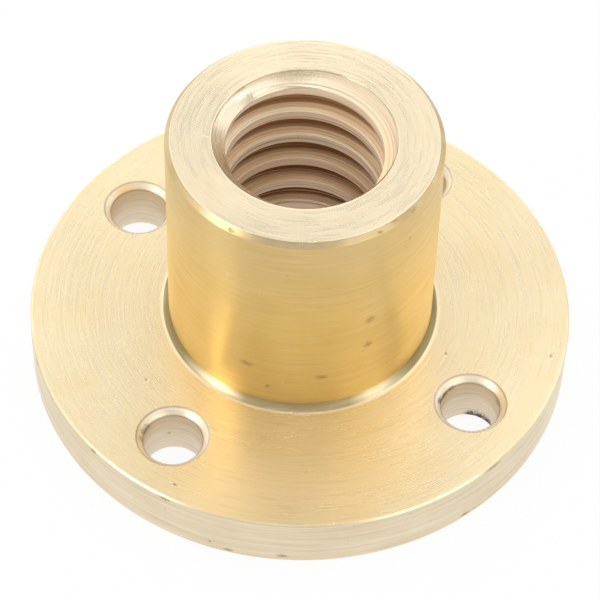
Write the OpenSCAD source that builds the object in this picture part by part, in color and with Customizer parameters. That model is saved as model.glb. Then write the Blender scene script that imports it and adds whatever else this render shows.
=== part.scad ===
// Flanged lead screw nut, turned from one length of brass bar.
// A round flange with four countersunk screw holes carries a plain barrel,
// and a single-start, right-hand trapezoidal thread runs through both.
//
// Origin: centre of the flange's underside. +Z runs along the bore, from
// the flange towards the barrel's free end. All sizes are in millimetres.

/* [Flange] */
// Outside diameter of the flange
flange_d = 32; // [31:0.5:48]
// Thickness of the flange
flange_t = 3.5; // [2.5:0.1:8]
// Break on both rim edges of the flange
flange_edge = 0.25; // [0.1:0.05:0.6]

/* [Barrel] */
// Outside diameter of the barrel
barrel_d = 15.6; // [13:0.1:18]
// Length of the barrel above the flange
barrel_l = 14.6; // [8:0.1:40]
// Chamfer round the outside of the barrel's free end
barrel_chamfer = 0.3; // [0.1:0.05:0.6]
// Fillet in the corner between barrel and flange
corner_fillet = 0.35; // [0.15:0.05:0.8]

/* [Thread] */
// Diameter across the crests of the internal thread
crest_d = 8.9; // [8:0.1:9.2]
// Diameter across the roots of the internal thread
root_d = 10.3; // [9.8:0.1:10.3]
// Distance from one turn of the thread to the next
pitch = 2; // [1.5:0.25:3]
// Width of the flat land on each crest
crest_land = 0.9; // [0.6:0.05:1]
// Slope of each flank of the thread, in degrees
flank_angle = 15; // [5:1:20]
// Angle from +X at which a groove's middle crosses the underside, in degrees
thread_start = 67.5; // [0:2.5:360]

/* [Bore mouths] */
// Diameter of the lead-in chamfer where the bore meets either face
mouth_d = 10.4; // [10.4:0.1:11.5]
// Depth of the lead-in chamfer
mouth_h = 0.75; // [0.4:0.05:1.2]

/* [Screw holes] */
// Number of screw holes in the flange
hole_count = 4; // [3:1:8]
// Diameter of the circle that the screw holes lie on
hole_circle_d = 24.5; // [24:0.1:25.5]
// Diameter of each screw hole
hole_d = 3.4; // [2.5:0.1:3.8]
// Diameter of the light countersink on the barrel side
hole_sink_d = 4.4; // [4:0.1:5]
// Depth of the light countersink
hole_sink_h = 0.4; // [0.2:0.05:0.8]
// Angle from +X to the first screw hole, in degrees
hole_start = 45; // [0:5:90]

/* [Hidden] */
$fn = 128;
// How far a cutting body runs past the faces that it opens
over = 1;
flange_r = flange_d / 2;
barrel_r = barrel_d / 2;
crest_r = crest_d / 2;
root_r = root_d / 2;
mouth_r = mouth_d / 2;
nut_l = flange_t + barrel_l;
// Straight steps that each turn of the thread is made of
turn_steps = 48;

// Half section of the flange, with both rim edges broken
module flange_section() {
  polygon([
    [0, 0],
    [flange_r - flange_edge, 0],
    [flange_r, flange_edge],
    [flange_r, flange_t - flange_edge],
    [flange_r - flange_edge, flange_t],
    [0, flange_t]
  ]);
}

// Half section of the barrel, from the underside to its chamfered end
module barrel_section() {
  polygon([
    [0, 0],
    [barrel_r, 0],
    [barrel_r, nut_l - barrel_chamfer],
    [barrel_r - barrel_chamfer, nut_l],
    [0, nut_l]
  ]);
}

// Half section of the fillet that fills the corner at the barrel's foot
module corner_section() {
  translate([barrel_r, flange_t])
    difference() {
      square(corner_fillet);
      translate([corner_fillet, corner_fillet])
        circle(r = corner_fillet);
    }
}

// The turned blank, still solid
module blank() {
  rotate_extrude() {
    flange_section();
    barrel_section();
    corner_section();
  }
}

// Cutting body of the bore, with its lead-in chamfer at both ends
module bore_cut() {
  flare = over * (mouth_r - crest_r) / mouth_h;
  rotate_extrude()
    polygon([
      [0, -over],
      [mouth_r + flare, -over],
      [crest_r, mouth_h],
      [crest_r, nut_l - mouth_h],
      [mouth_r + flare, nut_l + over],
      [0, nut_l + over]
    ]);
}

// Section of the thread groove, as radius and height from its middle. It
// starts inside the bore, so that the bore's own wall makes the crests.
function groove_section() =
  let (
    slope = tan(flank_angle),
    inside = (crest_r - over / 4),
    mouth_w = (pitch - crest_land) / 2 + (over / 4) * slope,
    root_w = (pitch - crest_land) / 2 - (root_r - crest_r) * slope
  )
  [[inside, -mouth_w], [root_r, -root_w], [root_r, root_w], [inside, mouth_w]];

// The groove's section carried up the helix by a number of steps
function groove_ring(section, step) =
  let (
    angle = thread_start + 360 * step / turn_steps,
    height = pitch * step / turn_steps
  )
  [for (p = section) [p[0] * cos(angle), p[0] * sin(angle), height + p[1]]];

// Cutting body of the thread: one helical groove that runs out of both faces
module thread_cut() {
  section = groove_section();
  corners = len(section);
  first = -ceil(1.5 * turn_steps);
  last = ceil((nut_l / pitch + 1.5) * turn_steps);
  polyhedron(
    points = [for (step = [first : last]) each groove_ring(section, step)],
    faces = [
      [for (k = [corners - 1 : -1 : 0]) k],
      for (i = [0 : last - first - 1])
        for (k = [0 : corners - 1])
          let (
            low = i * corners + k,
            low_next = i * corners + (k + 1) % corners,
            high = low + corners,
            high_next = low_next + corners
          )
          each [[low, low_next, high], [low_next, high_next, high]],
      [for (k = [0 : corners - 1]) (last - first) * corners + k]
    ],
    convexity = 20
  );
}

// Cutting body of one screw hole, standing on the underside at the origin
module hole_cut() {
  hole_r = hole_d / 2;
  sink_r = hole_sink_d / 2;
  flare = over * (sink_r - hole_r) / hole_sink_h;
  rotate_extrude($fn = 64)
    polygon([
      [0, -over],
      [hole_r, -over],
      [hole_r, flange_t - hole_sink_h],
      [sink_r + flare, flange_t + over],
      [0, flange_t + over]
    ]);
}

// Puts its children at every screw hole
module at_holes() {
  for (i = [0 : hole_count - 1])
    rotate([0, 0, hole_start + i * 360 / hole_count])
      translate([hole_circle_d / 2, 0, 0])
        children();
}

// The whole nut
module nut() {
  color([0.86, 0.71, 0.42])
    difference() {
      blank();
      bore_cut();
      thread_cut();
      at_holes() hole_cut();
    }
}

nut();
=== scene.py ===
"""The visual model of a flanged lead screw nut: turned brass on a pale studio floor."""

import logging
import math
from dataclasses import dataclass, field
from enum import Enum
from functools import reduce
from typing import Iterable, Optional, Sequence, Union

import bpy
from mathutils import Matrix, Vector


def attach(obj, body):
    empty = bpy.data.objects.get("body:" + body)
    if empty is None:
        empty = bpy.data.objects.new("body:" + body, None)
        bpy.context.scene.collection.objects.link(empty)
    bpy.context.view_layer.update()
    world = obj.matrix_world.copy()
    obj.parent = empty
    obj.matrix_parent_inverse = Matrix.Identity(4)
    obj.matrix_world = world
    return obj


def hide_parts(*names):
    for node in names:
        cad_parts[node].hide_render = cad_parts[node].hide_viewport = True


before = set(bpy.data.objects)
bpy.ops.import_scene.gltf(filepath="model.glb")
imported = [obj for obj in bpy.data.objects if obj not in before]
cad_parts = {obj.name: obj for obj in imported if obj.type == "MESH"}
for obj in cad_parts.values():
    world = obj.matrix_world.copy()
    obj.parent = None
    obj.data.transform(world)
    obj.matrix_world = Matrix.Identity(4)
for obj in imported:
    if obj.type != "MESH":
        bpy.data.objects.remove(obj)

MM = 0.001
LOG = logging.getLogger("nut")

Point = tuple[float, float]
Colour = tuple[float, float, float]
Paint = Union[Colour, bpy.types.NodeSocket]
Number = Union["Value", float]
Tint = tuple["Value", Colour]

# Sizes that a shape and a finish share, in millimetres.
LENGTH = 18.1
FLANGE_T = 3.5
BARREL_R = 7.8
BARREL_CHAMFER = 0.3
PITCH = 2.0
CREST_R = 4.45
MOUTH_R = 5.2
HOLE_CIRCLE_R = 12.25
HOLE_R = 1.7
SINK_R = 2.1
SINK_H = 0.4

# Tones that lie over the brass; the first is a thin line of painted shade along edges.
SHADE_LINE = (0.36, 0.27, 0.14)
PALE_MARK = (1.0, 0.94, 0.80)
SCRATCH = (1.0, 0.93, 0.78)
GRIME = (0.30, 0.20, 0.10)


# --------------------------------------------------------------------------
# Shader maths
# --------------------------------------------------------------------------


class Value:
    """A number that varies over a surface, written as a Python expression."""

    def __init__(self, shader: "Shader", socket: bpy.types.NodeSocket) -> None:
        """Wraps a socket.

        Args:
            shader: The shader that the socket's node belongs to.
            socket: An output socket that carries a number.
        """
        self.shader = shader
        self.socket = socket

    def _math(self, operation: str, *others: Number) -> "Value":
        """Adds a Math node with this value and the others as its inputs.

        Args:
            operation: The Math node's operation.
            *others: The remaining inputs, in order.

        Returns:
            The node's result.
        """
        return self.shader.math(operation, self, *others)

    def __add__(self, other: Number) -> "Value":
        """Sum."""
        return self._math("ADD", other)

    def __radd__(self, other: float) -> "Value":
        """Sum, with the number first."""
        return self._math("ADD", other)

    def __sub__(self, other: Number) -> "Value":
        """Difference."""
        return self._math("SUBTRACT", other)

    def __rsub__(self, other: float) -> "Value":
        """Difference, with the number first."""
        return self.shader.math("SUBTRACT", other, self)

    def __mul__(self, other: Number) -> "Value":
        """Product."""
        return self._math("MULTIPLY", other)

    def __rmul__(self, other: float) -> "Value":
        """Product, with the number first."""
        return self._math("MULTIPLY", other)

    def __truediv__(self, other: Number) -> "Value":
        """Quotient."""
        return self._math("DIVIDE", other)

    def __rtruediv__(self, other: float) -> "Value":
        """Quotient, with the number first."""
        return self.shader.math("DIVIDE", other, self)

    def __pow__(self, other: Number) -> "Value":
        """Power."""
        return self._math("POWER", other)

    def __rpow__(self, other: float) -> "Value":
        """Power, with the number first."""
        return self.shader.math("POWER", other, self)

    def sine(self) -> "Value":
        """Sine of the value, in radians."""
        return self._math("SINE")

    def cosine(self) -> "Value":
        """Cosine of the value, in radians."""
        return self._math("COSINE")

    def larger(self, other: Number) -> "Value":
        """The larger of two values."""
        return self._math("MAXIMUM", other)


class Shader:
    """A material's node tree, with short ways to add nodes to it."""

    def __init__(self, name: str) -> None:
        """Makes an empty material.

        Args:
            name: The material's name.
        """
        self.material = bpy.data.materials.new(name)
        self.material.use_nodes = True
        self.tree = self.material.node_tree
        self.tree.nodes.clear()

    def node(
        self,
        kind: str,
        settings: Optional[dict[str, object]] = None,
        inputs: Optional[dict[Union[str, int], object]] = None,
    ) -> bpy.types.Node:
        """Adds one node.

        Args:
            kind: The node's type.
            settings: Its own settings, which are set first.
            inputs: Values or links for its sockets, by name or number.

        Returns:
            The new node.
        """
        made = self.tree.nodes.new(kind)
        for key, setting in (settings or {}).items():
            setattr(made, key, setting)
        for key, given in (inputs or {}).items():
            socket = made.inputs[key]
            if isinstance(given, Value):
                given = given.socket
            if isinstance(given, bpy.types.NodeSocket):
                self.tree.links.new(given, socket)
            else:
                socket.default_value = given
        return made

    def math(self, operation: str, *values: Number) -> Value:
        """Adds a Math node.

        Args:
            operation: Its operation.
            *values: Its inputs, in order.

        Returns:
            Its result.
        """
        made = self.node(
            "ShaderNodeMath", {"operation": operation}, dict(enumerate(values))
        )
        return Value(self, made.outputs[0])

    def ramp(self, value: Number, low: float, high: float, to: Point = (0.0, 1.0)) -> Value:
        """Maps low..high onto another range, evenly and held at both ends.

        Args:
            value: The value to map.
            low: Where the range starts.
            high: Where the range ends.
            to: The range that comes out.

        Returns:
            The mapped value.
        """
        made = self.node(
            "ShaderNodeMapRange",
            {"interpolation_type": "LINEAR", "clamp": True},
            {
                "Value": value,
                "From Min": low,
                "From Max": high,
                "To Min": to[0],
                "To Max": to[1],
            },
        )
        return Value(self, made.outputs[0])

    def place(self) -> tuple[Value, Value, Value]:
        """The point's own coordinates on the object.

        Returns:
            X, Y and Z in millimetres.
        """
        here = self.node("ShaderNodeTexCoord").outputs["Object"]
        split = self.node("ShaderNodeSeparateXYZ", inputs={0: here})
        x, y, z = (Value(self, s) / MM for s in split.outputs)
        return x, y, z

    def vector(self, x: Number, y: Number, z: Number) -> bpy.types.NodeSocket:
        """Joins three numbers into a vector.

        Args:
            x: First part.
            y: Second part.
            z: Third part.

        Returns:
            The vector's socket.
        """
        return self.node("ShaderNodeCombineXYZ", inputs={0: x, 1: y, 2: z}).outputs[0]

    def noise(
        self,
        where: bpy.types.NodeSocket,
        scale: float,
        detail: float = 2.0,
        rough: float = 0.5,
        w: Optional[Number] = None,
    ) -> Value:
        """Soft noise.

        Args:
            where: The vector that it is read at.
            scale: How fine it is.
            detail: Octaves.
            rough: Strength of the finer octaves.
            w: A fourth coordinate, if it is read in four dimensions.

        Returns:
            Noise round 0.5.
        """
        inputs = {"Vector": where, "Scale": scale, "Detail": detail, "Roughness": rough}
        if w is not None:
            inputs["W"] = w
        made = self.node(
            "ShaderNodeTexNoise",
            {"noise_dimensions": "3D" if w is None else "4D"},
            inputs,
        )
        return Value(self, made.outputs[0])

    def blend(self, share: Number, first: Paint, second: Paint) -> bpy.types.NodeSocket:
        """Mixes two colours.

        Args:
            share: 0 gives the first colour and 1 the second.
            first: A colour or a colour socket.
            second: A colour or a colour socket.

        Returns:
            The mixed colour's socket.
        """
        def full(paint: Paint) -> object:
            """A plain colour with its alpha, or the socket as it is."""
            return (*paint, 1.0) if isinstance(paint, tuple) else paint

        made = self.node(
            "ShaderNodeMix",
            {"data_type": "RGBA", "blend_type": "MIX"},
            {0: share, 6: full(first), 7: full(second)},
        )
        return made.outputs[2]


# --------------------------------------------------------------------------
# Finishes
# --------------------------------------------------------------------------


def shaded(colour: Colour, share: float) -> Colour:
    """A darker version of a colour."""
    return tuple(share * part for part in colour)


@dataclass(frozen=True)
class Spot:
    """A point on the nut, as a shader sees it. Lengths are in millimetres."""

    sh: Shader
    x: Value
    y: Value
    z: Value
    r: Value
    here: bpy.types.NodeSocket

    @classmethod
    def on(cls, sh: Shader) -> "Spot":
        """Finds the point that a shader is colouring.

        Args:
            sh: The shader.

        Returns:
            The point.
        """
        x, y, z = sh.place()
        return cls(sh, x, y, z, (x * x + y * y) ** 0.5, sh.vector(x, y, z))


@dataclass(frozen=True)
class Knock:
    """A small dent, nick or spot, or a small patch of painted shade. Lengths are in millimetres.
    """

    bearing_deg: float
    radius: float
    height: float
    wide: float
    tall: float
    shade: float = 1.0

    def mask(self, at: Spot, ragged: Value) -> Value:
        """Marks where the knock is.

        Args:
            at: The point that is coloured.
            ragged: Noise round 0 that breaks up the outline.

        Returns:
            The knock's shade in its middle and 0 outside it.
        """
        b = math.radians(self.bearing_deg)
        side = (at.y * math.cos(b) - at.x * math.sin(b)) / self.wide
        out = (at.x * math.cos(b) + at.y * math.sin(b) - self.radius) / self.tall
        up = (at.z - self.height) / self.tall
        far = (side * side + out * out + up * up) ** 0.5
        return at.sh.ramp(far + ragged, 0.35, 1.0, (self.shade, 0.0))


@dataclass(frozen=True)
class TurnedBrass:
    """Brass as it comes off the lathe: ring marks, fine scratches and dull spots."""

    name: str
    colour: Colour
    deep: Colour
    rough: float = 0.30
    dull: float = 0.0
    anisotropy: float = 0.5
    ring_pitch: float = 0.16
    ring_depth: float = 0.35
    ring_shade: float = 0.20
    streak: float = 0.5
    scratched: float = 1.0
    # Radius of a thin line of painted shade along an edge; 0 gives none.
    rim: float = 0.0
    rim_shade: float = 0.5
    knocks: tuple[Knock, ...] = ()
    knock_shade: float = 0.6
    knock_depth: float = 0.8
    knock_tone: Colour = (0.28, 0.17, 0.08)
    relief: float = 0.05

    def run(self, at: Spot) -> Value:
        """How far the tool has moved over the surface, in millimetres."""
        return at.r + at.z

    def marks(self, at: Spot) -> tuple[Value, Value]:
        """The tool's marks: short fine streaks and wider bands.

        Args:
            at: The point that is coloured.

        Returns:
            The fine marks and the wide ones, each round 0.5.
        """
        steps = self.run(at) * (1.0 / self.ring_pitch)
        around = at.sh.vector(at.x * self.streak, at.y * self.streak, at.z)
        fine = at.sh.noise(around, 1.0, 2.0, 0.6, w=steps)
        wide = at.sh.noise(at.here, 0.3 * self.streak, 2.0, 0.5, w=steps * 0.25)
        return fine, wide

    def tints(self, at: Spot) -> list[Tint]:
        """Colours that lie over the ground colour: here a thin line of painted shade along an
        edge.

        Args:
            at: The point that is coloured.

        Returns:
            Share and colour of each, in order.
        """
        if self.rim <= 0.0:
            return []
        off = at.sh.math("ABSOLUTE", at.r - self.rim)
        return [(at.sh.ramp(off, 0.02, 0.07, (self.rim_shade, 0.0)), SHADE_LINE)]

    def scratches(self, at: Spot) -> Number:
        """Thin stray scratches in three directions.

        Args:
            at: The point that is coloured.

        Returns:
            1 in a scratch and 0 beside it.
        """
        if self.scratched <= 0.0:
            return 0.0
        found = []
        for turn in (0.4, 1.5, 2.6):
            along = at.x * math.cos(turn) + at.y * math.sin(turn)
            across = at.y * math.cos(turn) - at.x * math.sin(turn)
            drawn_out = at.sh.vector(along * 0.22, across * 7.0, at.z * 0.5 + turn)
            lines = at.sh.noise(drawn_out, 1.0, 0.0)
            found.append(at.sh.ramp(lines, 0.84, 0.90, (0.0, self.scratched)))
        return reduce(Value.larger, found)

    def knocked(self, at: Spot) -> Number:
        """All the knocks together.

        Args:
            at: The point that is coloured.

        Returns:
            1 in a knock and 0 outside it.
        """
        if not self.knocks:
            return 0.0
        ragged = (at.sh.noise(at.here, 9.0, 2.0, 0.6) - 0.5) * 1.6
        return reduce(Value.larger, [knock.mask(at, ragged) for knock in self.knocks])

    def grime(self, at: Spot) -> Value:
        """Small dull spots: 1 in the middle of one and 0 outside it."""
        return at.sh.ramp(at.sh.noise(at.here, 1.7, 4.0, 0.65), 0.66, 0.74)

    def clouds(self, at: Spot) -> Value:
        """Wide soft patches, 1 where the deeper colour shows."""
        return at.sh.ramp(at.sh.noise(at.here, 0.3, 3.0, 0.55), 0.35, 0.7)

    def material(self) -> bpy.types.Material:
        """Builds the finish.

        Returns:
            The material.
        """
        sh = Shader(self.name)
        at = Spot.on(sh)
        fine, wide = self.marks(at)
        scratch, knock, grime = self.scratches(at), self.knocked(at), self.grime(at)
        colour = sh.blend(self.clouds(at), self.colour, self.deep)
        for share, tone in (
            *self.tints(at),
            (sh.ramp(fine, 0.53, 0.68) * self.ring_shade, shaded(self.deep, 0.55)),
            (sh.ramp(fine, 0.45, 0.30) * self.ring_shade, PALE_MARK),
            (scratch * 0.15, SCRATCH),
            (grime * 0.25, GRIME),
            (knock * self.knock_shade, self.knock_tone),
        ):
            if isinstance(share, Value):
                colour = sh.blend(share, colour, tone)
        rough = self.rough + (fine - 0.5) * 0.25 + (wide - 0.5) * 0.15 + grime * 0.15
        height = fine * 0.7 + wide * 0.3 - scratch * 0.12 - knock * self.knock_depth
        bump = sh.node(
            "ShaderNodeBump",
            inputs={"Strength": self.ring_depth, "Distance": self.relief * MM, "Height": height},
        )
        brass = sh.node(
            "ShaderNodeBsdfPrincipled",
            inputs={
                "Base Color": colour,
                "Metallic": 1.0 - self.dull,
                "Roughness": sh.ramp(rough, 0.0, 1.0),
                "Anisotropic": self.anisotropy,
                "Anisotropic Rotation": 0.25,
                "Normal": bump.outputs[0],
            },
        )
        sh.node("ShaderNodeOutputMaterial", inputs={"Surface": brass.outputs[0]})
        return sh.material


@dataclass(frozen=True)
class BarrelBrass(TurnedBrass):
    """The barrel's side, with painted shade that makes it darker and less golden towards its free
    end.
    """

    # Painted shade: the tone laid over the upper part of the barrel.
    top: Colour = (0.58, 0.46, 0.27)
    top_shade: float = 0.38
    top_from: float = 11.0
    top_to: float = 17.0

    def tints(self, at: Spot) -> list[Tint]:
        """Painted shade over the upper part.

        Args:
            at: The point that is coloured.

        Returns:
            Share and colour.
        """
        share = at.sh.ramp(at.z, self.top_from, self.top_to, (0.0, self.top_shade))
        return [(share, self.top)]


@dataclass(frozen=True)
class FootBrass(TurnedBrass):
    """The rounded corner at the barrel's foot, with painted shade in it, heaviest on two opposite
    sides.
    """

    # Painted shade in the foot's corner, strongest on two opposite sides and lighter in the
    # middle.
    corner_shade: Colour = (0.28, 0.21, 0.08)
    corner_shade_bearing_deg: float = 350.0
    corner_shade_r: float = 8.12
    flank: Point = (4.9, 6.6)
    flank_shade: float = 0.92
    middle: Point = (4.2, 3.0)
    middle_shade: float = 0.75

    def tints(self, at: Spot) -> list[Tint]:
        """Painted shade in the corner.

        Args:
            at: The point that is coloured.

        Returns:
            Share and colour.
        """
        b = math.radians(self.corner_shade_bearing_deg)
        side = at.sh.math("ABSOLUTE", at.x * math.cos(b) + at.y * math.sin(b))
        flank = at.sh.ramp(side, *self.flank, (0.0, self.flank_shade))
        middle = at.sh.ramp(side, *self.middle, (0.0, self.middle_shade))
        corner = at.sh.ramp(at.r, self.corner_shade_r + 0.06, self.corner_shade_r - 0.02)
        return [(flank.larger(middle) * corner, self.corner_shade)]


@dataclass(frozen=True)
class ThreadBrass(TurnedBrass):
    """The thread's faces, with tool marks that follow the lead."""

    lead: float = PITCH
    length: float = LENGTH
    crest_r: float = CREST_R
    # Painted highlight on the crests.
    crest: Colour = (1.0, 0.92, 0.76)
    # Painted shade in the thread's roots.
    root: Colour = (0.30, 0.14, 0.05)
    root_from: float = 4.98
    root_to: float = 5.14
    # Painted light towards both mouths of the bore.
    mouth: Colour = (0.98, 0.88, 0.68)
    line: Colour = (1.0, 0.92, 0.78)

    def marks(self, at: Spot) -> tuple[Value, Value]:
        """Fine lines that run along the thread.

        Args:
            at: The point that is coloured.

        Returns:
            The fine marks and the wide ones, each round 0.5.
        """
        turn = at.z * (2.0 * math.pi / self.lead) - at.sh.math("ARCTAN2", at.y, at.x)
        around = at.sh.vector(turn.cosine() * 2.0, turn.sine() * 2.0, at.r * 8.0)
        fine = at.sh.noise(around, 1.0, 2.0, 0.6, w=at.z * 0.6)
        return fine, at.sh.noise(around, 0.3, 2.0, 0.5, w=at.z * 0.3)

    def tints(self, at: Spot) -> list[Tint]:
        """Tool lines, painted shade in the roots, a painted highlight on the crests, painted
        light towards both mouths and a thin line of painted shade at both ends.

        Args:
            at: The point that is coloured.

        Returns:
            Share and colour of each, in order.
        """
        sh, half = at.sh, self.length / 2.0
        out = sh.math("ABSOLUTE", at.z - half)
        # Share of painted light within about a millimetre of each end.
        near = sh.ramp(out, half - 1.2, half - 0.6)
        lines = sh.noise(sh.vector(at.r * 20.0, at.z * 0.2, at.z * 0.2), 1.0, 1.0)
        return [
            (sh.ramp(lines, 0.55, 0.62) * 0.55, shaded(self.deep, 0.4)),
            (sh.ramp(lines, 0.42, 0.36) * 0.6, self.line),
            # Painted shade in the roots, faded out near both mouths.
            (sh.ramp(at.r, self.root_from, self.root_to) * (1.0 - near), self.root),
            # Painted light near both mouths.
            (near * 0.85, self.mouth),
            # Painted highlight on the crests and their edges.
            (sh.ramp(at.r, self.crest_r + 0.09, self.crest_r + 0.02) * 0.5, self.crest),
            # A thin line of painted shade at both ends of the bore.
            (sh.ramp(out, half - 0.13, half - 0.07) * 0.6, SHADE_LINE),
        ]


@dataclass(frozen=True)
class DrilledBrass(TurnedBrass):
    """A screw hole's wall and countersink, marked round the hole's own axis."""

    circle_r: float = HOLE_CIRCLE_R
    drill_r: float = HOLE_R
    sink_r: float = SINK_R
    sink_z: float = FLANGE_T - SINK_H
    wall: Colour = (0.80, 0.69, 0.53)
    line: Colour = (0.34, 0.25, 0.16)

    def run(self, at: Spot) -> Value:
        """How far the drill has moved, in millimetres."""
        return at.z

    def tints(self, at: Spot) -> list[Tint]:
        """A darker wall and thin dark lines where the drill and the countersink end.

        Args:
            at: The point that is coloured.

        Returns:
            Share and colour of each, in order.
        """
        sh, side = at.sh, self.circle_r * math.sqrt(0.5)
        dx = sh.math("ABSOLUTE", at.x) - side
        dy = sh.math("ABSOLUTE", at.y) - side
        away = (dx * dx + dy * dy) ** 0.5
        outer = sh.ramp(sh.math("ABSOLUTE", away - self.sink_r), 0.03, 0.09, (1.0, 0.0))
        inner = sh.ramp(sh.math("ABSOLUTE", at.z - self.sink_z), 0.02, 0.09, (1.0, 0.0))
        return [
            (sh.ramp(away, self.drill_r + 0.08, self.drill_r + 0.04), self.wall),
            (outer.larger(inner) * 0.55, self.line),
        ]


@dataclass(frozen=True)
class PaleFloor:
    """A matt white table, softly lit from within."""

    name: str = "pale_floor"
    shade: float = 0.06
    glow: float = 0.93

    def material(self) -> bpy.types.Material:
        """Builds the finish.

        Returns:
            The material.
        """
        sh = Shader(self.name)
        matt = sh.node(
            "ShaderNodeBsdfPrincipled",
            inputs={
                "Base Color": (self.shade, self.shade, self.shade, 1.0),
                "Roughness": 1.0,
                "Specular IOR Level": 0.0,
                "Emission Color": (1.0, 1.0, 1.0, 1.0),
                "Emission Strength": self.glow,
            },
        )
        sh.node("ShaderNodeOutputMaterial", inputs={"Surface": matt.outputs[0]})
        return sh.material


class Zone(Enum):
    """The kinds of surface that the tools leave on the nut."""

    FACED = 0
    BARREL = 1
    RIM = 2
    THREAD = 3
    MOUTH = 4
    DRILLED = 5
    END_FACE = 6
    END_EDGE = 7
    FOOT = 8


def brass_finishes() -> dict[Zone, TurnedBrass]:
    """How each kind of surface on the nut is finished.

    Returns:
        One finish for every zone.
    """
    return {
        Zone.FACED: TurnedBrass(
            "brass_faced", (0.95, 0.80, 0.52), (0.93, 0.76, 0.46), dull=0.22, streak=0.35,
            knocks=(
                Knock(328.0, 9.3, 3.5, 0.20, 0.15),
                Knock(337.0, 15.2, 3.5, 0.25, 0.15),
                Knock(233.5, 15.0, 3.5, 0.25, 0.12),
                Knock(205.0, 10.7, 3.5, 0.15, 0.12),
            ),
        ),
        # Painted light: the end face gets a paler, creamier brass than the faced flange.
        Zone.END_FACE: TurnedBrass(
            "brass_end", (0.97, 0.84, 0.60), (0.95, 0.80, 0.56), ring_shade=0.14,
        ),
        # Painted shade: the end chamfer gets a darker brass than the faces beside it.
        Zone.END_EDGE: TurnedBrass(
            "brass_end_edge", (0.67, 0.51, 0.27), (0.63, 0.47, 0.23), 0.40,
            # A thin line of painted shade along the chamfer's upper edge.
            rim=BARREL_R - BARREL_CHAMFER,
            knocks=(
                Knock(230.5, 7.7, 17.9, 0.25, 0.12),
                Knock(293.0, 7.7, 17.9, 0.20, 0.12),
                Knock(301.0, 7.6, 18.0, 0.28, 0.09, 0.7),
                Knock(311.0, 7.7, 17.9, 0.30, 0.10, 0.7),
            ),
        ),
        Zone.FOOT: FootBrass(
            "brass_foot", (0.90, 0.77, 0.51), (0.88, 0.73, 0.46), 0.42, 0.22,
            ring_shade=0.10, ring_depth=0.15,
        ),
        Zone.BARREL: BarrelBrass(
            "brass_barrel", (0.79, 0.57, 0.22), (0.76, 0.53, 0.185), 0.36, anisotropy=0.85,
            ring_shade=0.10, ring_depth=0.15, streak=0.25, knock_shade=0.5,
            knocks=(
                Knock(290.5, 7.8, 10.6, 0.40, 0.35),
                Knock(290.0, 7.8, 8.4, 0.35, 0.35),
                Knock(270.0, 7.8, 6.4, 0.45, 0.25),
                Knock(247.5, 7.8, 5.3, 0.22, 0.22),
                Knock(238.0, 7.8, 6.9, 0.50, 0.25),
            ),
        ),
        Zone.RIM: TurnedBrass(
            "brass_rim", (0.80, 0.68, 0.48), (0.75, 0.62, 0.42), 0.35,
            ring_shade=0.30, streak=0.15, knock_depth=2.0,
            knocks=(
                Knock(188.0, 16.0, 3.2, 0.40, 0.25),
                Knock(214.0, 16.0, 3.3, 0.35, 0.25),
                Knock(233.0, 16.0, 3.3, 0.40, 0.20),
                Knock(258.0, 16.0, 0.5, 0.45, 0.18),
                Knock(247.0, 16.0, 0.35, 0.35, 0.15),
                Knock(243.0, 16.0, 0.7, 0.15, 0.10),
                Knock(304.8, 16.0, 3.3, 0.75, 0.18),
                Knock(298.0, 16.0, 0.35, 0.35, 0.18),
                Knock(333.0, 16.0, 3.2, 0.25, 0.15),
            ),
        ),
        Zone.THREAD: ThreadBrass(
            "brass_thread", (1.0, 0.75, 0.46), (0.98, 0.68, 0.38), 0.42,
            dull=0.85, anisotropy=0.0, ring_shade=0.85, scratched=0.0,
            knocks=(Knock(88.0, 4.95, 17.72, 1.7, 0.45),),
            knock_shade=0.6, knock_depth=0.0, knock_tone=(0.50, 0.42, 0.24),
        ),
        Zone.MOUTH: TurnedBrass(
            "brass_mouth", (0.90, 0.78, 0.58), (0.84, 0.71, 0.50), 0.28,
            # A thin line of painted shade along the mouth's outer edge.
            ring_shade=0.35, rim=MOUTH_R, rim_shade=0.6,
        ),
        Zone.DRILLED: DrilledBrass(
            "brass_drilled", (0.97, 0.86, 0.66), (0.94, 0.83, 0.62), 0.45,
            dull=0.25, anisotropy=0.0, scratched=0.0, ring_shade=0.30, streak=0.3,
            knock_shade=0.95, knock_tone=(0.08, 0.05, 0.035),
            knocks=(
                # Painted shade: a near-black crescent low on the wall of one hole.
                Knock(322.4, 11.6, 0.10, 0.45, 0.50),
                Knock(323.0, 12.1, 0.12, 0.50, 0.55),
                Knock(322.8, 12.7, 0.15, 0.45, 0.50),
                Knock(310.8, 10.65, 3.15, 0.45, 0.22, 0.7),
                Knock(314.0, 10.58, 3.0, 0.50, 0.24, 0.8),
                Knock(317.0, 10.65, 3.05, 0.40, 0.20, 0.6),
                Knock(321.1, 13.4, 2.9, 0.30, 0.30, 0.4),
                Knock(217.1, 12.6, 3.1, 0.25, 0.35, 0.4),
                Knock(217.6, 12.95, 3.15, 0.25, 0.35, 0.45),
                Knock(218.8, 13.4, 3.2, 0.30, 0.25, 0.4),
                Knock(218.6, 11.15, 1.44, 0.12, 0.12, 0.5),
            ),
        ),
    }


# --------------------------------------------------------------------------
# Mesh helpers
# --------------------------------------------------------------------------


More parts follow.
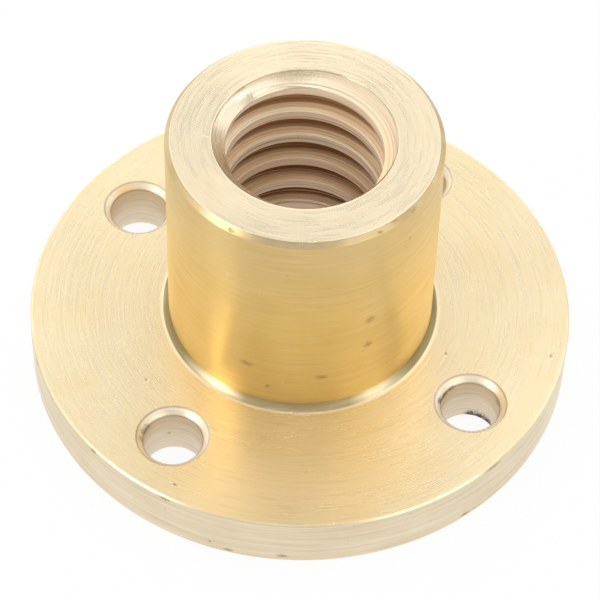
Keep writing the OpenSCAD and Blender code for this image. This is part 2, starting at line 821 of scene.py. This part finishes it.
def soften(points: Sequence[Point], radius: Sequence[float], steps: int = 6) -> list[Point]:
    """Rounds the corners of a closed outline and holds the flats beside them.

    Args:
        points: The outline's corners, in order.
        radius: Rounding of each corner; 0 leaves it as it is.
        steps: Straight pieces in each rounding.

    Returns:
        The rounded outline.
    """
    out: list[Point] = []
    count = len(points)
    for i, (corner, size) in enumerate(zip(points, radius)):
        here = Vector(corner)
        back = Vector(points[i - 1]) - here
        ahead = Vector(points[(i + 1) % count]) - here
        if size <= 0.0:
            out.append(corner)
            continue
        back_n, ahead_n = back.normalized(), ahead.normalized()
        half = back_n.angle(ahead_n) / 2.0
        reach = size / math.tan(half)
        start, end = here + back_n * reach, here + ahead_n * reach
        centre = here + (back_n + ahead_n).normalized() * (size / math.sin(half))
        hold = min(0.6 * reach, 0.06)
        out.append(tuple(start + back_n * hold))
        first, last = start - centre, end - centre
        sweep = first.angle_signed(last)
        for k in range(steps + 1):
            spin = Matrix.Rotation(-sweep * k / steps, 2)
            out.append(tuple(centre + spin @ first))
        out.append(tuple(end + ahead_n * hold))
    return out


def lathe(
    name: str, outline: Sequence[Point], sides: int, axis: Point = (0.0, 0.0)
) -> bpy.types.Object:
    """Turns a closed outline about a vertical axis.

    Args:
        name: The object's name.
        outline: Radius and height of each corner, in millimetres.
        sides: Faces round the axis.
        axis: X and Y of the axis, in millimetres.

    Returns:
        The turned body.
    """
    verts: list[tuple[float, float, float]] = []
    rings: list[list[int]] = []
    for radius, height in outline:
        if radius < 1e-6:
            rings.append([len(verts)] * sides)
            verts.append((axis[0] * MM, axis[1] * MM, height * MM))
            continue
        rings.append(list(range(len(verts), len(verts) + sides)))
        for k in range(sides):
            a = 2.0 * math.pi * k / sides
            verts.append((
                (axis[0] + radius * math.cos(a)) * MM,
                (axis[1] + radius * math.sin(a)) * MM,
                height * MM,
            ))
    faces: list[list[int]] = []
    for i, low in enumerate(rings):
        high = rings[(i + 1) % len(rings)]
        for k in range(sides):
            n = (k + 1) % sides
            corners = [low[k], low[n], high[n], high[k]]
            clean = list(dict.fromkeys(corners))
            if len(clean) > 2:
                faces.append(clean)
    return new_object(name, verts, faces)


def new_object(
    name: str, verts: Sequence[Sequence[float]], faces: Sequence[Sequence[int]]
) -> bpy.types.Object:
    """Makes a mesh object and links it to the scene.

    Args:
        name: The object's name.
        verts: Corner positions in metres.
        faces: Corner numbers of each face.

    Returns:
        The object.
    """
    mesh = bpy.data.meshes.new(name)
    mesh.from_pydata(verts, [], faces)
    mesh.validate()
    mesh.update()
    made = bpy.data.objects.new(name, mesh)
    bpy.context.scene.collection.objects.link(made)
    return made


def cut(body: bpy.types.Object, tools: Iterable[bpy.types.Object]) -> None:
    """Cuts tools out of a body and deletes them.

    Args:
        body: The body that is cut.
        tools: The closed cutting bodies.
    """
    tools = list(tools)
    for tool in tools:
        step = body.modifiers.new("cut", "BOOLEAN")
        step.operation = "DIFFERENCE"
        step.solver = "MANIFOLD"
        step.object = tool
    settle(body)
    for tool in tools:
        bpy.data.objects.remove(tool)


def settle(body: bpy.types.Object) -> None:
    """Applies all modifiers of an object.

    Args:
        body: The object.
    """
    graph = bpy.context.evaluated_depsgraph_get()
    done = bpy.data.meshes.new_from_object(body.evaluated_get(graph))
    old = body.data
    body.modifiers.clear()
    body.data = done
    bpy.data.meshes.remove(old)
    done.name = body.name


# --------------------------------------------------------------------------
# The nut
# --------------------------------------------------------------------------


@dataclass
class LeadScrewNut:
    """The whole nut, turned from one bar. Sizes are in millimetres."""

    flange_r: float = 16.0
    flange_t: float = FLANGE_T
    flange_edge: float = 0.11
    barrel_r: float = BARREL_R
    length: float = LENGTH
    barrel_chamfer: float = BARREL_CHAMFER
    corner_fillet: float = 0.5
    crest_r: float = CREST_R
    root_r: float = 5.15
    pitch: float = PITCH
    crest_land: float = 0.62
    flank_deg: float = 15.0
    thread_start_deg: float = 67.5
    mouth_r: float = MOUTH_R
    mouth_h: float = 0.75
    hole_circle_r: float = HOLE_CIRCLE_R
    hole_r: float = HOLE_R
    hole_sink_r: float = SINK_R
    hole_sink_h: float = SINK_H
    hole_start_deg: float = 45.0
    hole_count: int = 4
    sides: int = 480
    hole_sides: int = 96
    groove_sides: int = 240
    sharp_deg: float = 32.0
    finishes: dict[Zone, TurnedBrass] = field(default_factory=brass_finishes)

    def section(self) -> list[Point]:
        """Half section of the nut without its thread.

        Returns:
            The closed outline, with every edge lightly rounded.
        """
        corners = [
            (self.crest_r, self.mouth_h, 0.05),
            (self.mouth_r, 0.0, 0.08),
            (self.flange_r - self.flange_edge, 0.0, 0.07),
            (self.flange_r, self.flange_edge, 0.07),
            (self.flange_r, self.flange_t - self.flange_edge, 0.07),
            (self.flange_r - self.flange_edge, self.flange_t, 0.07),
            (self.barrel_r, self.flange_t, self.corner_fillet),
            (self.barrel_r, self.length - self.barrel_chamfer, 0.12),
            (self.barrel_r - self.barrel_chamfer, self.length, 0.05),
            (self.mouth_r, self.length, 0.08),
            (self.crest_r, self.length - self.mouth_h, 0.05),
        ]
        return soften([(r, z) for r, z, _ in corners], [s for _, _, s in corners])

    def thread_groove(self) -> bpy.types.Object:
        """The body that the threading tool sweeps out.

        Returns:
            A closed helical body that runs past both ends of the nut.
        """
        slope = math.tan(math.radians(self.flank_deg))
        opening = (self.pitch - self.crest_land) / 2.0
        root = opening - (self.root_r - self.crest_r) * slope
        bend, reach, spare_turns = 0.04, 0.25, 1.5
        half = [
            (self.crest_r - reach, opening + bend + 0.02),
            (self.crest_r, opening + bend * 0.8),
            (self.crest_r + bend, opening - bend * slope),
            (self.root_r - 2.0 * bend, root + 2.0 * bend * slope),
            (self.root_r - 0.5 * bend, root - 0.5 * bend),
            (self.root_r, root - 0.09),
        ]
        ring = [(r, -w) for r, w in half] + [(r, w) for r, w in reversed(half)]
        start = math.radians(self.thread_start_deg)
        low = -spare_turns * self.pitch
        per_turn = self.groove_sides
        steps = int(per_turn * (self.length - 2.0 * low) / self.pitch)
        verts: list[tuple[float, float, float]] = []
        faces: list[list[int]] = []
        size = len(ring)
        for i in range(steps + 1):
            a = start + 2.0 * math.pi * (i / per_turn + low / self.pitch)
            z = low + self.pitch * i / per_turn
            verts += [
                (r * math.cos(a) * MM, r * math.sin(a) * MM, (z + w) * MM) for r, w in ring
            ]
            if i == 0:
                continue
            base = (i - 1) * size
            for k in range(size):
                n = (k + 1) % size
                faces.append([base + k, base + size + k, base + size + n, base + n])
        faces.append(list(range(size)))
        faces.append(list(range(steps * size, steps * size + size))[::-1])
        return new_object("thread_groove", verts, faces)

    def screw_holes(self) -> list[bpy.types.Object]:
        """The drill and countersink at every screw hole.

        Returns:
            One closed cutting body for each hole.
        """
        flare = (self.hole_sink_r - self.hole_r) / self.hole_sink_h
        sink_z = self.flange_t - self.hole_sink_h
        past, lip, bend, brim = 1.0, 0.06, 0.03, 0.05
        outline = [
            (0.0, -past),
            (self.hole_r + lip, -past),
            (self.hole_r + lip, 0.0),
            (self.hole_r, lip),
            (self.hole_r, sink_z - bend),
            (self.hole_r + bend, sink_z + bend),
            (self.hole_sink_r - brim, self.flange_t - brim / flare),
            (self.hole_sink_r + brim, self.flange_t + 0.1 * brim),
            (self.hole_sink_r + brim, self.flange_t + past),
            (0.0, self.flange_t + past),
        ]
        made = []
        for k in range(self.hole_count):
            a = math.radians(self.hole_start_deg + 360.0 * k / self.hole_count)
            centre = (self.hole_circle_r * math.cos(a), self.hole_circle_r * math.sin(a))
            made.append(lathe(f"drill_{k}", outline, self.hole_sides, centre))
        return made

    def from_hole(self, x: float, y: float) -> float:
        """How far a point lies from the axis of the nearest screw hole.

        Args:
            x: The point's X, in millimetres.
            y: The point's Y, in millimetres.

        Returns:
            The distance, in millimetres.
        """
        step = 360.0 / self.hole_count
        angle = math.degrees(math.atan2(y, x)) - self.hole_start_deg
        off = math.radians(angle - step * round(angle / step))
        radius = math.hypot(x, y)
        return math.hypot(radius * math.cos(off) - self.hole_circle_r, radius * math.sin(off))

    def zone(self, centre: Vector) -> Zone:
        """Tells which tool left a face.

        Args:
            centre: The face's centre, in metres.

        Returns:
            The kind of surface.
        """
        x, y, z = (c / MM for c in centre)
        radius = math.hypot(x, y)
        in_flange = 0.004 < z < self.flange_t - 0.002
        if in_flange and self.from_hole(x, y) < self.hole_sink_r + 0.04:
            return Zone.DRILLED
        if radius < self.mouth_r + 0.02 and 0.01 < z < self.length - 0.01:
            deep = min(z, self.length - z)
            on_cone = abs(radius - (self.mouth_r - deep)) < 0.06
            return Zone.MOUTH if on_cone and deep < self.mouth_h + 0.05 else Zone.THREAD
        if z > self.length - 0.02:
            return Zone.END_FACE
        if z > self.length - self.barrel_chamfer + 0.005:
            return Zone.END_EDGE
        if radius > self.flange_r - 0.02:
            return Zone.RIM
        if z > self.flange_t + self.corner_fillet - 0.01:
            return Zone.BARREL
        return Zone.FOOT if z > self.flange_t + 0.001 else Zone.FACED

    @staticmethod
    def part_zones(mesh: bpy.types.Mesh) -> None:
        """Keeps the shading of neighbouring kinds of surface apart.

        Args:
            mesh: The nut's mesh, with its materials set.
        """
        parted = {
            (Zone.FACED.value, Zone.DRILLED.value),
            (Zone.THREAD.value, Zone.MOUTH.value),
        }
        kinds: dict[tuple[int, int], int] = {}
        sharp: set[tuple[int, int]] = set()
        for face in mesh.polygons:
            for key in face.edge_keys:
                other = kinds.setdefault(key, face.material_index)
                if (min(other, face.material_index), max(other, face.material_index)) in parted:
                    sharp.add(key)
        for edge in mesh.edges:
            if tuple(sorted(edge.vertices)) in sharp:
                edge.use_edge_sharp = True

    def build(self) -> bpy.types.Object:
        """Builds and dresses the nut.

        Returns:
            The finished piece.
        """
        nut = lathe("nut_body", self.section(), self.sides)
        cut(nut, [self.thread_groove(), *self.screw_holes()])
        nut.data.materials.clear()
        for zone in Zone:
            nut.data.materials.append(self.finishes[zone].material())
        for face in nut.data.polygons:
            face.use_smooth = True
            face.material_index = self.zone(face.center).value
        nut.data.set_sharp_from_angle(angle=math.radians(self.sharp_deg))
        self.part_zones(nut.data)
        even = nut.modifiers.new("even_normals", "WEIGHTED_NORMAL")
        even.keep_sharp = True
        settle(nut)
        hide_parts("nut")
        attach(nut, "root")
        return nut


# --------------------------------------------------------------------------
# The studio
# --------------------------------------------------------------------------


def heading(bearing_deg: float, height_deg: float) -> Vector:
    """The direction of a bearing and a height above the floor.

    Args:
        bearing_deg: Angle from +X, anticlockwise from above.
        height_deg: Angle above the floor.

    Returns:
        A vector one long.
    """
    b, h = math.radians(bearing_deg), math.radians(height_deg)
    return Vector((math.cos(b) * math.cos(h), math.sin(b) * math.cos(h), math.sin(h)))


@dataclass(frozen=True)
class Lamp:
    """Where a lamp hangs. It faces the nut, and distances are in millimetres."""

    name: str
    bearing_deg: float
    height_deg: float
    away: float

    def hang(self, data: bpy.types.Light, target: Vector) -> bpy.types.Object:
        """Hangs the lamp and aims it.

        Args:
            data: The light itself.
            target: The point that it faces, in metres.

        Returns:
            The lamp.
        """
        lamp = bpy.data.objects.new(self.name, data)
        way = heading(self.bearing_deg, self.height_deg)
        lamp.location = target + way * self.away * MM
        lamp.rotation_euler = (-way).to_track_quat("-Z", "Y").to_euler()
        bpy.context.scene.collection.objects.link(lamp)
        return lamp


@dataclass(frozen=True)
class SoftLight(Lamp):
    """A large soft lamp, square unless it is given a height of its own."""

    size: float
    glow: float
    tall: float = 0.0

    def build(self, target: Vector) -> bpy.types.Object:
        """Makes the lamp.

        Args:
            target: The point that it faces, in metres.

        Returns:
            The lamp.
        """
        data = bpy.data.lights.new(self.name, "AREA")
        data.shape = "RECTANGLE"
        data.size, data.size_y = self.size * MM, (self.tall or self.size) * MM
        data.energy = self.glow * math.pi * data.size * data.size_y
        return self.hang(data, target)


@dataclass(frozen=True)
class BoreLight(Lamp):
    """A small lamp with a narrow beam that looks down the bore."""

    name: str = "bore_lamp"
    bearing_deg: float = 262.0
    height_deg: float = 78.0
    away: float = 500.0
    bulb: float = 20.0
    beam: float = 10.0
    edge: float = 0.25
    power: float = 8.5

    def build(self, target: Vector) -> bpy.types.Object:
        """Makes the lamp.

        Args:
            target: The middle of the bore's mouth, in metres.

        Returns:
            The lamp.
        """
        data = bpy.data.lights.new(self.name, "SPOT")
        data.spot_size = 2.0 * math.atan(0.5 * self.beam / self.away)
        data.spot_blend = self.edge
        data.shadow_soft_size = self.bulb * MM
        data.energy = self.power
        return self.hang(data, target)


@dataclass
class Studio:
    """Floor, lamps and camera. Distances are in millimetres."""

    view_deg: float = 260.1
    rise_deg: float = 51.385
    roll_deg: float = -1.756
    away: float = 160.56
    lens: float = 162.1
    sensor: float = 36.0
    clip: Point = (10.0, 20000.0)
    aim: tuple[float, float, float] = (-0.0144, 0.1424, 3.5)
    floor_side: float = 6000.0
    middle_z: float = 9.0
    bore_z: float = 17.8
    fill: float = 0.60
    lamps: tuple[SoftLight, ...] = (
        SoftLight("back_lamp", 80.0, 20.0, 500.0, 360.0, 1.5),
        SoftLight("front_lamp", 260.0, 64.0, 500.0, 300.0, 0.3),
        SoftLight("left_front_strip", 203.0, 22.0, 480.0, 150.0, 3.8, 380.0),
        SoftLight("right_front_lamp", 308.0, 20.0, 500.0, 360.0, 1.15),
        SoftLight("back_left_lamp", 125.0, 20.0, 500.0, 360.0, 0.7),
        SoftLight("right_lamp", 5.0, 20.0, 500.0, 360.0, 0.6),
        SoftLight("left_lamp", 172.0, 27.0, 500.0, 330.0, 0.7),
        SoftLight("back_right_upper_lamp", 45.0, 42.0, 500.0, 280.0, 0.5),
        SoftLight("back_left_upper_lamp", 115.0, 42.0, 500.0, 280.0, 0.5),
        SoftLight("high_right_lamp", 20.0, 62.0, 500.0, 280.0, 1.4),
        SoftLight("high_left_lamp", 140.0, 62.0, 500.0, 280.0, 0.7),
    )

    def floor(self) -> bpy.types.Object:
        """Lays the floor under the nut.

        Returns:
            The floor.
        """
        half = 0.5 * self.floor_side * MM
        corners = [(-half, -half, 0.0), (half, -half, 0.0), (half, half, 0.0), (-half, half, 0.0)]
        made = new_object("floor", corners, [(0, 1, 2, 3)])
        made.data.materials.append(PaleFloor().material())
        return made

    def sky(self) -> None:
        """Sets an even white surround."""
        world = bpy.data.worlds.new("surround")
        world.use_nodes = True
        back = world.node_tree.nodes["Background"]
        back.inputs[0].default_value = (1.0, 1.0, 1.0, 1.0)
        back.inputs[1].default_value = self.fill
        bpy.context.scene.world = world

    def camera(self) -> bpy.types.Object:
        """Sets the camera at its viewing angle.

        Returns:
            The camera.
        """
        b = math.radians(self.view_deg)
        back = heading(self.view_deg, self.rise_deg)
        right = Vector((-math.sin(b), math.cos(b), 0.0))
        up = back.cross(right)
        base = Vector((0.0, 0.0, self.aim[2]))
        spot = base + right * self.aim[0] + up * self.aim[1] + back * self.away
        roll = math.radians(self.roll_deg)
        cam_x = right * math.cos(roll) - up * math.sin(roll)
        cam_y = right * math.sin(roll) + up * math.cos(roll)
        data = bpy.data.cameras.new("camera")
        data.lens = self.lens
        data.sensor_width = self.sensor
        data.clip_start, data.clip_end = self.clip[0] * MM, self.clip[1] * MM
        made = bpy.data.objects.new("camera", data)
        turn = Matrix((cam_x, cam_y, back)).transposed()
        made.matrix_world = Matrix.Translation(spot * MM) @ turn.to_4x4()
        bpy.context.scene.collection.objects.link(made)
        bpy.context.scene.camera = made
        return made

    def build(self) -> list[bpy.types.Object]:
        """Sets up the whole studio.

        Returns:
            The floor, the lamps and the camera.
        """
        made = [self.floor()]
        self.sky()
        middle = Vector((0.0, 0.0, self.middle_z * MM))
        made += [lamp.build(middle) for lamp in self.lamps]
        made.append(BoreLight().build(Vector((0.0, 0.0, self.bore_z * MM))))
        made.append(self.camera())
        bpy.context.scene.view_settings.view_transform = "Standard"
        return made


def main() -> None:
    """Builds the nut and the studio, and reports each piece."""
    logging.basicConfig(level=logging.INFO, format="%(name)s: %(message)s")
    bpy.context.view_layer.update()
    nut = LeadScrewNut().build()
    LOG.info("%s: %d faces", nut.name, len(nut.data.polygons))
    for made in Studio().build():
        LOG.info("%s: %s", made.name, made.type.lower())


if __name__ == "__main__":
    main()
